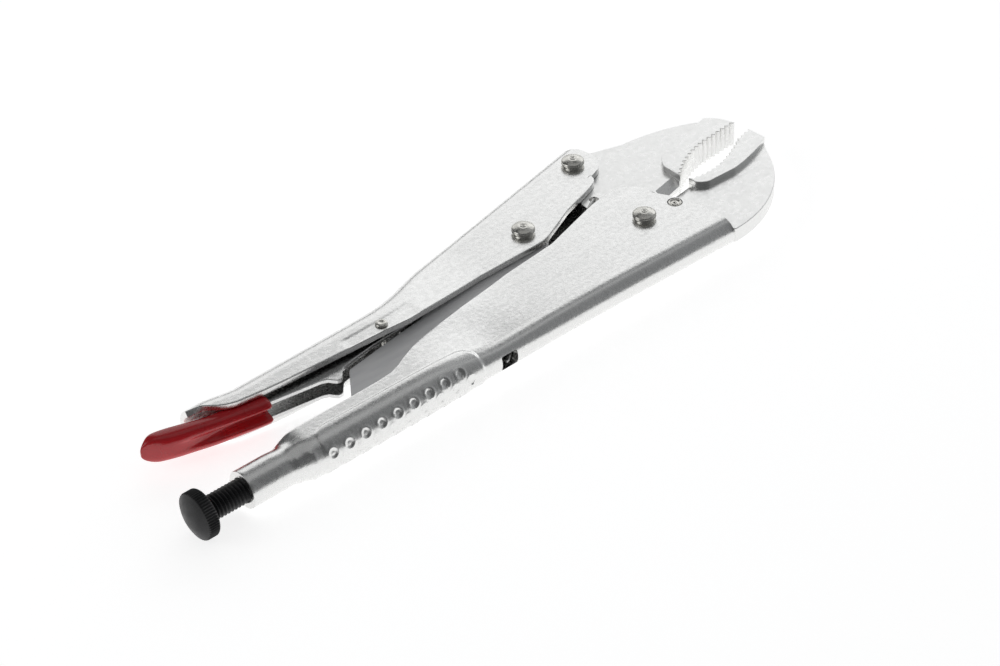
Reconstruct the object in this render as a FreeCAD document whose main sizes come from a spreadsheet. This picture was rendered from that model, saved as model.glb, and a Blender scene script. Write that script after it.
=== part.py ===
import FreeCAD, Part
import math
import os

import Sketcher
from FreeCAD import Vector

# Locking pliers with straight jaws, in millimetres.
#
# Tool frame: X runs along the adjusting screw from the knob towards the jaws, Y from the fixed
# handle towards the movable handle, Z along the rivets, with z = 0 in the middle of the plates.
# The row frame has the same axes and its origin under the middle of the tool, on the surface
# that the tool lies on.

SIZES = {
    # pressed sheet and the plates between its walls
    "sheet": 2.1,
    "jaw_plate": 5.4,
    "jaw_pad": 9.2,
    "link_plate": 5.2,
    "side_gap": 0.2,
    "pin_gap": 0.05,
    "part_gap": 0.35,
    # knob and adjusting screw
    "knob_radius": 7.6,
    "knob_rim": 4.0,
    "knob_dome": 1.8,
    "screw_radius": 3.95,
    "screw_showing": 13.0,
    "screw_inside": 39.0,
    "screw_tip_gap": 2.5,
    # fixed handle, from its nose to the main pivot
    "nose_length": 16.0,
    "shoulder_length": 9.0,
    "grip_length": 43.0,
    "taper_length": 50.0,
    "front_length": 52.9,
    "front_reach": 18.6,
    "front_swell": 1.9,
    "rear_half": 7.0,
    "back_depth": 8.0,
    "edge_height": 5.2,
    "panel_height": 0.35,
    "slot_length": 6.2,
    "slot_width": 5.0,
    # pivots
    "pivot_height": 12.9,
    "jaw_pivot_ahead": 3.6,
    "jaw_pivot_rise": 37.9,
    "link_pivot_behind": 33.4,
    "link_pivot_rise": 20.7,
    "lever_pivot_ahead": 4.9,
    "lever_pivot_height": 25.7,
    # rivets
    "pin_radius": 2.5,
    "head_radius": 3.85,
    "head_top": 2.7,
    "head_height": 2.8,
    "dish_radius": 2.1,
    "dish_depth": 0.35,
    "flush_pin": 2.35,
    "lever_pin": 1.25,
    "lever_head": 2.0,
    "lever_head_height": 0.75,
    # movable handle
    "tail_gap": 5.0,
    "tail_height": 35.2,
    "tail_flare": 2.1,
    "tail_slope": 1.3,
    "leg_slope": 12.6,
    "crown": 9.6,
    "bend_length": 33.0,
    "handle_nose": 8.6,
    # jaws
    "jaw_length": 61.3,
    "hub_radius": 9.3,
    "boss_radius": 5.2,
    "hook_hole": 1.6,
    # toggle link
    "link_boss": 8.0,
    "link_tip": 2.5,
    # release lever and its dipped grip
    "lever_half": 3.55,
    "lever_sheet": 1.4,
    "grip_half": 4.6,
    "grip_round": 1.8,
    # spring
    "coil_radius": 2.75,
    "wire": 1.0,
    "rear_hook": 10.5,
    "front_hook": 11.5,
}

doc = FreeCAD.newDocument("locking_pliers")
sheet = doc.addObject("Spreadsheet::Sheet", "sizes")
for row, (alias, size) in enumerate(SIZES.items(), start=1):
    sheet.set(f"A{row}", alias)
    sheet.set(f"B{row}", str(size))
    sheet.setAlias(f"B{row}", alias)
doc.recompute()


# ---- places worked out from the driving sizes, as expressions ----

def total(*terms):
    """The sum of expression texts; a word alone is a size in the sheet."""
    return "(" + " + ".join(f"sizes.{t}" if str(t).isidentifier() else f"({t})" for t in terms) + ")"


def less(first, second):
    return f"({total(first)} - {total(second)})"


def ease(share):
    """Runs from 0 to 1 with level ends, as share does."""
    return f"(({share})^2 * (3 - 2 * ({share})))"


def blend(low, high, share):
    return f"({low} + ({high} - {low}) * {share})"


FRONT_HALF = total("sizes.jaw_plate / 2", "side_gap", "sheet")
REAR_HALF = total("rear_half")
NOSE_RADIUS = total("screw_radius", "pin_gap", "sheet")
BORE = total("screw_radius", "pin_gap")

NOSE_X = total("knob_rim", "screw_showing")
SHOULDER_X = total(NOSE_X, "nose_length")
GRIP_X = total(SHOULDER_X, "shoulder_length")
TAPER_X = total(GRIP_X, "grip_length")
SLIM_X = total(TAPER_X, "taper_length")
PIVOT_X = total(SLIM_X, "front_length")
PIVOT_Y = total("pivot_height")
FRONT_X = total(PIVOT_X, "front_reach")
JAW_X = total(PIVOT_X, "jaw_pivot_ahead")
JAW_Y = total(PIVOT_Y, "jaw_pivot_rise")
LINK_X = less(PIVOT_X, "link_pivot_behind")
LINK_Y = total(PIVOT_Y, "link_pivot_rise")
LEVER_X = total(TAPER_X, "lever_pivot_ahead")
LEVER_Y = total("lever_pivot_height")
TAIL_X = total(NOSE_X, "tail_gap")
TIP_X = total(PIVOT_X, "jaw_length")
SCREW_TIP_X = total(NOSE_X, "screw_inside")
LINK_END_X = total(SCREW_TIP_X, "screw_tip_gap", "link_tip")
SLOT_X = total(TAPER_X, 27.3)
HOOK_X = less(PIVOT_X, 2.6)
HOOK_Y = total(PIVOT_Y, 20.9)
LEG_TAN = "tan(sizes.leg_slope * 1 deg)"
TAIL_TAN = "tan(sizes.tail_slope * 1 deg)"


def width_share(x):
    """How far a place between the taper's ends has narrowed, from 0 to 1."""
    return ease(f"min(1; max(0; ({x} - {TAPER_X}) / sizes.taper_length))")


def half_width(x):
    return blend(REAR_HALF, FRONT_HALF, width_share(x))


def fixed_back(x):
    """Depth of the fixed handle's back under the screw axis."""
    share = f"(max(0; {x} - {SLIM_X}) / ({FRONT_X} - {SLIM_X}))"
    return f"(sizes.back_depth + sizes.front_swell * {share}^2)"


def movable_back(x):
    """Height of the movable handle's back: two straight legs with an eased bend between."""
    tail_leg = f"(sizes.tail_height + {TAIL_TAN} * ({x} - {TAIL_X}))"
    front_leg = f"({JAW_Y} + sizes.crown + {LEG_TAN} * ({x} - {JAW_X}))"
    share = ease(f"min(1; max(0; ({x} - {TAPER_X}) / sizes.bend_length))")
    return blend(tail_leg, front_leg, share)


CENTRE_X = f"(({TIP_X} - sizes.knob_dome) / 2)"
CENTRE_Y = f"(({movable_back(total(JAW_X, 2))} - {fixed_back(FRONT_X)}) / 2)"
REST_Z = total(FRONT_HALF, "head_height")


def polar(centre_x, centre_y, radius, angle):
    return (
        total(centre_x, f"{radius} * cos({angle} deg)"),
        total(centre_y, f"{radius} * sin({angle} deg)"),
    )


def from_pivot(ahead, rise):
    """A corner of a jaw: its length follows jaw_length, its rise is in millimetres."""
    return (total(PIVOT_X, f"sizes.jaw_length * {ahead} / 61.3"), total(PIVOT_Y, rise))


# ---- building blocks ----

def value(expression):
    return float(sheet.evalExpression(expression))


def place(thing, x="0", y="0"):
    """Sets a sub-part in the row frame, with its own origin at x, y of the tool frame."""
    thing.setExpression("Placement.Base.x", f"{x} - {CENTRE_X}")
    thing.setExpression("Placement.Base.y", f"{y} - {CENTRE_Y}")
    thing.setExpression("Placement.Base.z", REST_Z)


def new_body(label, x="0", y="0"):
    body = doc.addObject("PartDesign::Body", label)
    body.Label = label
    place(body, x, y)
    return body


def new_sketch(body, plane, offset=None):
    sketch = body.newObject("Sketcher::SketchObject", f"{body.Name}_{plane}_sketch")
    origin_plane = next(o for o in body.Origin.OriginFeatures if o.Role == f"{plane}_Plane")
    sketch.AttachmentSupport = [(origin_plane, "")]
    sketch.MapMode = "FlatFace"
    if offset is not None:
        sketch.setExpression("AttachmentOffset.Base.z", offset)
    return sketch


def bind(sketch, kind, name, expression, *geometry):
    index = sketch.addConstraint(Sketcher.Constraint(kind, *geometry, value(expression)))
    sketch.renameConstraint(index, name)
    sketch.setExpression(f"Constraints.{name}", expression)


def add_circle(sketch, x, y, radius):
    centre = Vector(value(x), value(y), 0)
    index = sketch.addGeometry(Part.Circle(centre, Vector(0, 0, 1), value(radius)))
    bind(sketch, "DistanceX", f"x{index}", x, -1, 1, index, 3)
    bind(sketch, "DistanceY", f"y{index}", y, -1, 1, index, 3)
    bind(sketch, "Radius", f"r{index}", radius, index)


def arc_between(start, end, radius, turn):
    """An arc of less than half a turn; turn is 1 where it bends left, -1 where it bends right."""
    chord = end - start
    across = Vector(-chord.y, chord.x, 0).normalize() * turn
    centre = start + chord * 0.5 + across * math.sqrt(radius**2 - (chord.Length / 2) ** 2)
    first, last = (start, end) if turn > 0 else (end, start)
    angles = [math.atan2(p.y - centre.y, p.x - centre.x) for p in (first, last)]
    circle = Part.Circle(centre, Vector(0, 0, 1), radius)
    return Part.ArcOfCircle(circle, *angles)


def add_outline(sketch, corners, arcs=None):
    """A closed outline. arcs maps a corner's number to the radius and turn of the edge after it."""
    arcs = arcs or {}
    points = [Vector(value(x), value(y), 0) for x, y in corners]
    first = sketch.GeometryCount
    ends = []
    for number, start in enumerate(points):
        end = points[(number + 1) % len(points)]
        if number in arcs:
            radius, turn = arcs[number]
            index = sketch.addGeometry(arc_between(start, end, value(radius), turn))
            ends.append((1, 2) if turn > 0 else (2, 1))
        else:
            index = sketch.addGeometry(Part.LineSegment(start, end))
            ends.append((1, 2))
    for number, (x, y) in enumerate(corners):
        index = first + number
        before = first + (number - 1) % len(corners)
        sketch.addConstraint(
            Sketcher.Constraint("Coincident", before, ends[number - 1][1], index, ends[number][0])
        )
        bind(sketch, "DistanceX", f"x{index}", x, -1, 1, index, ends[number][0])
        bind(sketch, "DistanceY", f"y{index}", y, -1, 1, index, ends[number][0])
        if number in arcs:
            bind(sketch, "Radius", f"r{index}", arcs[number][0], index)


def pad(body, sketch, thickness, name):
    """A plate of a full thickness, half each side of its sketch."""
    feature = body.newObject("PartDesign::Pad", name)
    feature.Profile = sketch
    feature.Midplane = True
    feature.setExpression("Length", thickness)
    return feature


def cut_through(body, sketch, name):
    feature = body.newObject("PartDesign::Pocket", name)
    feature.Profile = sketch
    feature.Type = 1
    feature.Midplane = True
    return feature


def cut_slab(body, sketch, thickness, name):
    feature = body.newObject("PartDesign::Pocket", name)
    feature.Profile = sketch
    feature.Midplane = True
    feature.setExpression("Length", thickness)
    return feature


def keep_inside(body, corners, arcs, name):
    """Cuts away what lies outside an outline in the X-Y plane."""
    sketch = new_sketch(body, "XY")
    far = 400
    add_outline(sketch, [(str(x), str(y)) for x, y in
                         ((-far, -far), (far, -far), (far, far), (-far, far))])
    add_outline(sketch, corners, arcs)
    cut_through(body, sketch, name)


def pin_hole(body, x, y, radius, name):
    sketch = new_sketch(body, "XY")
    add_circle(sketch, x, y, radius)
    cut_through(body, sketch, name)


def channel_section(body, x, half, back, side, reach):
    """A round-backed section; side is -1 where the back faces -Y and 1 where it faces +Y."""
    sketch = new_sketch(body, "YZ", x)
    spring_line = f"({side} * ({back} - {half}))"
    open_end = f"({side} * ({back} - {reach}))"
    corners = [
        (f"({side} * {back})", "0"),
        (spring_line, half),
        (open_end, half),
        (open_end, f"(0 - {half})"),
        (spring_line, f"(0 - {half})"),
    ]
    turn = side
    add_outline(sketch, corners, {0: (half, turn), 4: (half, turn)})
    return sketch


def channel_loft(body, kind, stations, inset, side, reach, name):
    """stations are (x, half width, back); inset is how far the loft lies inside them."""
    sketches = [
        channel_section(body, x, f"({half} - {inset})", f"({back} - {inset})", side, reach)
        for x, half, back in stations
    ]
    loft = body.newObject(f"PartDesign::{kind}Loft", name)
    loft.Profile = sketches[0]
    loft.Sections = sketches[1:]
    loft.Ruled = True
    return loft


# ---- fixed handle: a pressed channel that closes to a threaded nose ----

def fixed_handle():
    body = new_body("fixed_handle")
    middle_x = total(SHOULDER_X, "sizes.shoulder_length / 2")
    stations = [
        (SHOULDER_X, NOSE_RADIUS, NOSE_RADIUS),
        (middle_x, blend(NOSE_RADIUS, REAR_HALF, 0.5), blend(NOSE_RADIUS, "sizes.back_depth", 0.5)),
    ]
    places = [GRIP_X, total(GRIP_X, "sizes.grip_length / 2"), TAPER_X]
    places += [total(TAPER_X, f"sizes.taper_length * {share}") for share in (0.25, 0.5, 0.75)]
    places += [SLIM_X, total(SLIM_X, f"({FRONT_X} - {SLIM_X}) / 2"), FRONT_X]
    stations += [(x, half_width(x), fixed_back(x)) for x in places]
    channel_loft(body, "Additive", stations, "0", -1, "60", "outer_form")

    corners = [
        (FRONT_X, "0 - 30"),
        (FRONT_X, "0 - 1"),
        (total(PIVOT_X, 14.2), total(PIVOT_Y, 3.7)),
        (total(PIVOT_X, 11.7), total(PIVOT_Y, 8.2)),
        (total(PIVOT_X, 0.5), total(PIVOT_Y, 18.5)),
        (less(PIVOT_X, 10.9), total(PIVOT_Y, 16.0)),
        (less(PIVOT_X, 30.9), total(PIVOT_Y, 10.1)),
        (total(SLIM_X, 1), total(PIVOT_Y, 8.0)),
        (total(TAPER_X, 12), PIVOT_Y),
        (less(TAPER_X, 1), total("edge_height", 3.2)),
        (less(TAPER_X, 7.5), total("edge_height", 0.4)),
        (SHOULDER_X, total("edge_height", "0 - 0.4")),
        (SHOULDER_X, "0 - 30"),
    ]
    arcs = {1: ("41", 1), 8: ("47", 1), 9: ("12.5", -1)}
    keep_inside(body, corners, arcs, "open_edge")

    nose = new_sketch(body, "YZ", NOSE_X)
    add_circle(nose, "0", "0", NOSE_RADIUS)
    tube = body.newObject("PartDesign::Pad", "nose")
    tube.Profile = nose
    tube.setExpression("Length", total("nose_length", "sheet"))

    panel_x = [total(GRIP_X, 0.6), TAPER_X, total(TAPER_X, 16.5)]
    panel = [
        (x, total(half_width(x), "panel_height"), total(fixed_back(x), "panel_height"))
        for x in panel_x
    ]
    channel_loft(body, "Additive", panel, "0", -1, total("back_depth", 0.6), "grip_panel")

    hollow = [(total(SHOULDER_X, "sheet"), *stations[0][1:])] + stations[1:-1]
    hollow.append((total(FRONT_X, 1), *stations[-1][1:]))
    channel_loft(body, "Subtractive", hollow, "sizes.sheet", -1, "70", "hollow")

    bore = new_sketch(body, "YZ", less(NOSE_X, 1))
    add_circle(bore, "0", "0", BORE)
    drilled = body.newObject("PartDesign::Pocket", "screw_bore")
    drilled.Profile = bore
    drilled.Reversed = True
    drilled.setExpression("Length", total("nose_length", "sheet", 2))

    slot = new_sketch(body, "XZ", total("back_depth", 3))
    half_length = "sizes.slot_length / 2"
    half_slot = "sizes.slot_width / 2"
    add_outline(slot, [
        (total(SLOT_X, f"0 - {half_length}"), f"0 - {half_slot}"),
        (total(SLOT_X, half_length), f"0 - {half_slot}"),
        (total(SLOT_X, half_length), half_slot),
        (total(SLOT_X, f"0 - {half_length}"), half_slot),
    ])
    anchor = body.newObject("PartDesign::Pocket", "spring_slot")
    anchor.Profile = slot
    anchor.setExpression("Length", total("back_depth", 1))

    pin_hole(body, PIVOT_X, PIVOT_Y, "sizes.pin_radius", "main_pivot_hole")
    pin_hole(body, total(PIVOT_X, 13.1), less(PIVOT_Y, 0.5), "sizes.flush_pin", "jaw_rivet_hole")
    return body


# ---- movable handle: a bent channel, open at both ends ----

def movable_handle():
    body = new_body("movable_handle")
    flared = [(TAIL_X, 0.9), (total(TAIL_X, 7), 1.0)]
    stations = [
        (x, half_width(x), total(movable_back(x), f"sizes.tail_flare * {share}"))
        for x, share in flared
    ]
    places = [total(TAIL_X, 17), total(GRIP_X, 18), TAPER_X]
    places += [total(TAPER_X, f"sizes.bend_length * {share}") for share in (0.25, 0.5, 0.75, 1.0)]
    places += [total(SLIM_X, 10), total(JAW_X, 13)]
    stations += [(x, half_width(x), movable_back(x)) for x in places]
    channel_loft(body, "Additive", stations, "0", 1, "75", "outer_form")

    hollow = [(less(TAIL_X, 1), *stations[0][1:])] + stations[1:-1]
    hollow.append((total(JAW_X, 14), *stations[-1][1:]))
    channel_loft(body, "Subtractive", hollow, "sizes.sheet", 1, "80", "hollow")

    nose_low = polar(JAW_X, JAW_Y, "sizes.handle_nose", -73)
    nose_front = polar(JAW_X, JAW_Y, "sizes.handle_nose", 0)
    nose_high = polar(JAW_X, JAW_Y, "sizes.handle_nose", 52)
    corners = [
        (TAIL_X, less("tail_height", 1.6)),
        (total(TAIL_X, 4.6), less("tail_height", 3.2)),
        (total(TAIL_X, 8.4), less("tail_height", 6.9)),
        (total(TAIL_X, 13.5), less("tail_height", 9.2)),
        (total(GRIP_X, 10), less("lever_pivot_height", 1.5)),
        (total(LEVER_X, 8), less("lever_pivot_height", 3.5)),
        (less(SLIM_X, 6), less("lever_pivot_height", 0.3)),
        (less(LINK_X, 0.5), less(LINK_Y, 7.9)),
        (total(LINK_X, 4.5), less(LINK_Y, 7.0)),
        nose_low,
        nose_front,
        nose_high,
        (total(JAW_X, 2.0), total(JAW_Y, "crown", 3)),
        (TAIL_X, total(JAW_Y, "crown", 3)),
    ]
    arcs = {
        1: ("14", 1), 2: ("14", 1), 7: ("12", 1),
        9: ("sizes.handle_nose", 1), 10: ("sizes.handle_nose", 1),
    }
    keep_inside(body, corners, arcs, "open_edge")

    pin_hole(body, JAW_X, JAW_Y, "sizes.pin_radius", "jaw_pivot_hole")
    pin_hole(body, LINK_X, LINK_Y, "sizes.pin_radius", "link_pivot_hole")
    pin_hole(body, LEVER_X, LEVER_Y, "sizes.lever_pin", "lever_pivot_hole")
    return body


# ---- jaws ----

MOVABLE_TEETH = [from_pivot(25.1, 9.4), from_pivot(44.1, 18.2), from_pivot(60.3, 19.5)]
FIXED_TEETH = [
    from_pivot(61.0, 13.7), from_pivot(54.1, 12.0), from_pivot(42.1, 6.6), from_pivot(26.2, 6.5),
]


def movable_jaw():
    body = new_body("movable_jaw")
    plate = new_sketch(body, "XY")
    shoulder_angle = -5
    corners = [
        MOVABLE_TEETH[2],
        from_pivot(59.3, 22.6),
        from_pivot(51.3, 31.4),
        from_pivot(25.7, 38.1),
        from_pivot(13.9, 41.8),
        polar(JAW_X, JAW_Y, total("handle_nose", 1.8), shoulder_angle),
        polar(JAW_X, JAW_Y, "sizes.boss_radius", shoulder_angle),
        polar(JAW_X, JAW_Y, "sizes.boss_radius", 100),
        polar(JAW_X, JAW_Y, "sizes.boss_radius", 195),
        (less(HOOK_X, 4.8), total(HOOK_Y, 0.5)),
        polar(PIVOT_X, PIVOT_Y, "sizes.hub_radius", 180),
        polar(PIVOT_X, PIVOT_Y, "sizes.hub_radius", 285),
        polar(PIVOT_X, PIVOT_Y, "sizes.hub_radius", 35),
        (total(PIVOT_X, 15.1), total(PIVOT_Y, 6.9)),
        MOVABLE_TEETH[0],
        MOVABLE_TEETH[1],
    ]
    arcs = {
        1: ("14", 1), 2: ("70", 1),
        6: ("sizes.boss_radius", 1), 7: ("sizes.boss_radius", 1),
        10: ("sizes.hub_radius", 1), 11: ("sizes.hub_radius", 1),
        14: ("40", -1),
    }
    add_outline(plate, corners, arcs)
    pad(body, plate, "sizes.jaw_plate", "plate")

    gripping = new_sketch(body, "XY")
    outline = [
        MOVABLE_TEETH[0], MOVABLE_TEETH[1], MOVABLE_TEETH[2],
        from_pivot(59.3, 22.6), from_pivot(54.6, 28.6),
        from_pivot(32.6, 23.9), from_pivot(25.0, 16.6),
    ]
    add_outline(gripping, outline, {0: ("40", -1), 3: ("14", 1), 5: ("12", 1)})
    pad(body, gripping, "sizes.jaw_pad", "gripping_pad")

    clear_pin = total("pin_radius", "pin_gap")
    pin_hole(body, PIVOT_X, PIVOT_Y, clear_pin, "main_pivot_hole")
    pin_hole(body, JAW_X, JAW_Y, clear_pin, "handle_pivot_hole")
    pin_hole(body, HOOK_X, HOOK_Y, "sizes.hook_hole", "spring_hole")
    return body


def fixed_jaw():
    body = new_body("fixed_jaw")
    plate = new_sketch(body, "XY")
    seat = total("hub_radius", "part_gap")
    floor_y = f"(0 - {less('back_depth', FRONT_HALF)} + 0.1)"
    step_x = total(FRONT_X, 0.3)
    corners = [
        from_pivot(61.3, 6.4),
        *FIXED_TEETH,
        (total(PIVOT_X, 14.6), total(PIVOT_Y, 4.9)),
        polar(PIVOT_X, PIVOT_Y, seat, 22),
        polar(PIVOT_X, PIVOT_Y, seat, -90),
        (less(PIVOT_X, 2), less(PIVOT_Y, seat)),
        (less(PIVOT_X, 2), floor_y),
        (step_x, floor_y),
        (step_x, "0 - sizes.back_depth - sizes.front_swell + 0.6"),
        from_pivot(58.1, 2.1),
    ]
    arcs = {2: ("27", -1), 6: (seat, -1), 11: ("43", 1)}
    add_outline(plate, corners, arcs)
    pad(body, plate, "sizes.jaw_plate", "plate")

    gripping = new_sketch(body, "XY")
    outline = [
        from_pivot(61.3, 6.4), *FIXED_TEETH,
        from_pivot(26.4, 3.6), from_pivot(30.5, 0.8), from_pivot(41.1, 0.4),
    ]
    add_outline(gripping, outline, {2: ("27", -1), 5: ("6", 1), 7: ("60", 1)})
    pad(body, gripping, "sizes.jaw_pad", "gripping_pad")

    pin_hole(body, total(PIVOT_X, 13.1), less(PIVOT_Y, 0.5), "sizes.flush_pin", "rivet_hole")
    return body


# ---- toggle link, release lever and its grip ----

def toggle_link():
    body = new_body("toggle_link")
    plate = new_sketch(body, "XY")
    corners = [
        (total(LINK_END_X, 0.6), "0 - sizes.link_tip"),
        (total(LINK_END_X, 38), "6.5"),
        polar(LINK_X, LINK_Y, "sizes.link_boss", -75),
        polar(LINK_X, LINK_Y, "sizes.link_boss", 15),
        polar(LINK_X, LINK_Y, "sizes.link_boss", 105),
        (total(LEVER_X, 14), less(LEVER_Y, 1.6)),
        (less(LEVER_X, 6), less(LEVER_Y, 4.3)),
        (less(LEVER_X, 17.9), less(LEVER_Y, 6.2)),
        (less(LINK_END_X, "link_tip"), "0.8"),
    ]
    arcs = {
        2: ("sizes.link_boss", 1), 3: ("sizes.link_boss", 1), 8: (total("link_tip", 0.2), 1),
    }
    add_outline(plate, corners, arcs)
    pad(body, plate, "sizes.link_plate", "plate")
    pin_hole(body, LINK_X, LINK_Y, total("pin_radius", "pin_gap"), "pivot_hole")
    return body


def from_lever(behind, rise):
    """A point of the release lever, from its pivot."""
    return (less(LEVER_X, behind), total(LEVER_Y, rise))


def release_lever():
    body = new_body("release_lever")
    outer = new_sketch(body, "XY")
    corners = [
        from_lever(77.5, 5.0), from_lever(64, 0.8), from_lever(45, -2.9), from_lever(28, -5.5),
        from_lever(26, -6.4), from_lever(23.6, -9.1), from_lever(21.5, -7.7),
        from_lever(19.3, -5.0), from_lever(16, -4.4), from_lever(6, -2.7), from_lever(-8, -1.9),
        from_lever(-8, 2.6), from_lever(-3, 5.6), from_lever(45, 3.3), from_lever(66, 4.2),
        from_lever(76, 8.3),
    ]
    add_outline(outer, corners)
    pad(body, outer, "2 * sizes.lever_half", "form")

    def under_web(behind, rise):
        x, y = from_lever(behind, rise)
        return x, less(y, "lever_sheet")

    inner = new_sketch(body, "XY")
    add_outline(inner, [
        from_lever(80, -20), from_lever(-20, -20), under_web(-20, 5.6), under_web(-3, 5.6),
        under_web(45, 3.3), under_web(66, 4.2), under_web(80, 9.9),
    ])
    cut_slab(body, inner, "2 * (sizes.lever_half - sizes.lever_sheet)", "channel")
    pin_hole(body, LEVER_X, LEVER_Y, total("lever_pin", "pin_gap"), "pivot_hole")
    return body


def release_lever_grip(lever):
    """The dipped coat on the lever's end, with the lever's own shape taken out of it."""
    body = new_body("dipped_coat")
    outline = new_sketch(body, "XY")
    corners = [
        from_lever(84.6, 7.9), from_lever(75.7, 1.9), from_lever(51, -3.7), from_lever(45.2, -4.8),
        from_lever(45.2, 3.7), from_lever(64.5, 4.6), from_lever(69.5, 6.9), from_lever(76, 9.2),
        from_lever(81.5, 9.8),
    ]
    add_outline(outline, corners, {0: ("20", 1), 8: ("4", 1)})
    plain = pad(body, outline, "2 * sizes.grip_half", "coat")
    doc.recompute()
    rim = [
        f"Edge{n}" for n, edge in enumerate(plain.Shape.Edges, start=1)
        if abs(abs(edge.CenterOfMass.z) - value("sizes.grip_half")) < 0.01
    ]
    rounded = body.newObject("PartDesign::Fillet", "soft_edges")
    rounded.Base = (plain, rim)
    rounded.setExpression("Radius", "sizes.grip_round")
    coat = doc.addObject("Part::Cut", "release_lever_grip")
    coat.Label = "release_lever_grip"
    coat.Base = body
    coat.Tool = lever
    return coat


# ---- round pieces ----

def revolved(label, profile, arcs, x, y, axis_plane, axis):
    """A turned piece; profile is in the plane of its own axis."""
    body = new_body(label, x, y)
    sketch = new_sketch(body, axis_plane)
    add_outline(sketch, profile, arcs)
    turned = body.newObject("PartDesign::Revolution", f"{label}_turned")
    turned.Profile = sketch
    turned.ReferenceAxis = (sketch, [axis])
    turned.Angle = 360
    return body


def headed_rivet(label, x, y):
    """A rivet with a low domed head on each side, each head dished in the middle."""
    top = f"({FRONT_HALF} + sizes.head_height)"
    half = [
        ("0", f"{top} - sizes.dish_depth"),
        ("sizes.dish_radius", top),
        ("sizes.head_top", top),
        ("sizes.head_radius", FRONT_HALF),
        ("sizes.pin_radius", FRONT_HALF),
    ]
    other = [(r, f"0 - ({z})") for r, z in reversed(half)]
    return revolved(label, half + other, {2: ("3.6", -1), 6: ("3.6", -1)}, x, y, "XZ", "V_Axis")


def lever_rivet():
    top = total("rear_half", "lever_head_height")
    half = [("0", top), ("1.3", total(top, "0 - 0.1")), ("sizes.lever_head", REAR_HALF),
            ("sizes.lever_pin", REAR_HALF)]
    other = [(r, f"0 - ({z})") for r, z in reversed(half)]
    return revolved("release_lever_rivet", half + other, None, LEVER_X, LEVER_Y, "XZ", "V_Axis")


def flush_rivet():
    body = new_body("fixed_jaw_rivet", total(PIVOT_X, 13.1), less(PIVOT_Y, 0.5))
    sketch = new_sketch(body, "XY")
    add_circle(sketch, "0", "0", "sizes.flush_pin")
    pad(body, sketch, f"2 * {FRONT_HALF}", "shank")
    return body


def adjusting_screw():
    start = "(sizes.knob_rim / 2 + sizes.pin_gap)"
    chamfer = "0.8"
    profile = [
        (start, "0"),
        (SCREW_TIP_X, "0"),
        (SCREW_TIP_X, f"sizes.screw_radius - {chamfer}"),
        (f"{SCREW_TIP_X} - {chamfer}", "sizes.screw_radius"),
        (start, "sizes.screw_radius"),
    ]
    return revolved("adjusting_screw", profile, None, "0", "0", "XY", "H_Axis")


def screw_knob():
    edge = "0.5"
    face = f"(sizes.knob_radius - {edge})"
    dome = f"(({face}^2 + sizes.knob_dome^2) / (2 * sizes.knob_dome))"
    socket = "sizes.knob_rim / 2"
    profile = [
        ("0 - sizes.knob_dome", "0"),
        (socket, "0"),
        (socket, BORE),
        ("sizes.knob_rim", BORE),
        ("sizes.knob_rim", face),
        (f"sizes.knob_rim - {edge}", "sizes.knob_radius"),
        (edge, "sizes.knob_radius"),
        ("0", face),
    ]
    return revolved("screw_knob", profile, {7: (dome, 1)}, "0", "0", "XY", "H_Axis")


def tension_spring():
    """A close-wound tube with a hook at each end, between the slot in the fixed handle's back
    and the hole in the movable jaw."""
    rear = Vector(value(SLOT_X), -value("sizes.back_depth"), 0)
    front = Vector(value(HOOK_X), value(HOOK_Y), 0)
    along = (front - rear).normalize()
    wire_radius = value("sizes.wire") / 2
    start = rear + along * value("sizes.rear_hook")
    length = (front - rear).Length - value("sizes.rear_hook") - value("sizes.front_hook")
    outside = value("sizes.coil_radius")
    coil = Part.makeCylinder(outside, length, start, along)
    coil = coil.cut(Part.makeCylinder(outside - 2 * wire_radius, length, start, along))

    def run(first, last):
        return Part.makeCylinder(wire_radius, (last - first).Length, first, last - first)

    def joint(point):
        return Part.makeSphere(wire_radius + 0.03, point)

    ring = outside - wire_radius
    end = start + along * length
    across = Vector(-along.y, along.x, 0)
    over = value("sizes.jaw_plate") / 2 + wire_radius + 0.1
    foot = rear + Vector(-0.6, 0.6, 0)
    lift = Vector(0, 0, ring)
    rear_hook = [start + across * ring, foot, foot + Vector(-0.8, 0, 0)]
    front_hook = [
        end + lift,
        end + along * value("0.28 * sizes.front_hook") + lift,
        end + along * value("0.43 * sizes.front_hook") + Vector(0, 0, over),
        Vector(front.x, front.y, over),
        Vector(front.x, front.y, -over),
    ]
    pieces = []
    for path in (rear_hook, front_hook):
        pieces += [run(first, last) for first, last in zip(path, path[1:])]
        pieces += [joint(point) for point in path[:-1]]
    spring = doc.addObject("Part::Feature", "tension_spring")
    spring.Label = "tension_spring"
    spring.Shape = coil.fuse(pieces).removeSplitter()
    place(spring)
    return spring


# ---- assembly ----

lever = release_lever()
sub_parts = [
    fixed_handle(),
    movable_handle(),
    movable_jaw(),
    fixed_jaw(),
    toggle_link(),
    lever,
    release_lever_grip(lever),
    headed_rivet("main_pivot_rivet", PIVOT_X, PIVOT_Y),
    headed_rivet("handle_jaw_rivet", JAW_X, JAW_Y),
    headed_rivet("handle_link_rivet", LINK_X, LINK_Y),
    lever_rivet(),
    flush_rivet(),
    adjusting_screw(),
    screw_knob(),
    tension_spring(),
]
doc.recompute()

for thing in doc.Objects:
    if "Invalid" in thing.State or "Error" in thing.State:
        raise RuntimeError(f"{thing.Label} failed: {thing.State}")
for sub_part in sub_parts:
    shape = sub_part.Shape
    if shape.isNull() or not shape.isValid():
        raise RuntimeError(f"{sub_part.Label} has no valid shape")

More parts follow.
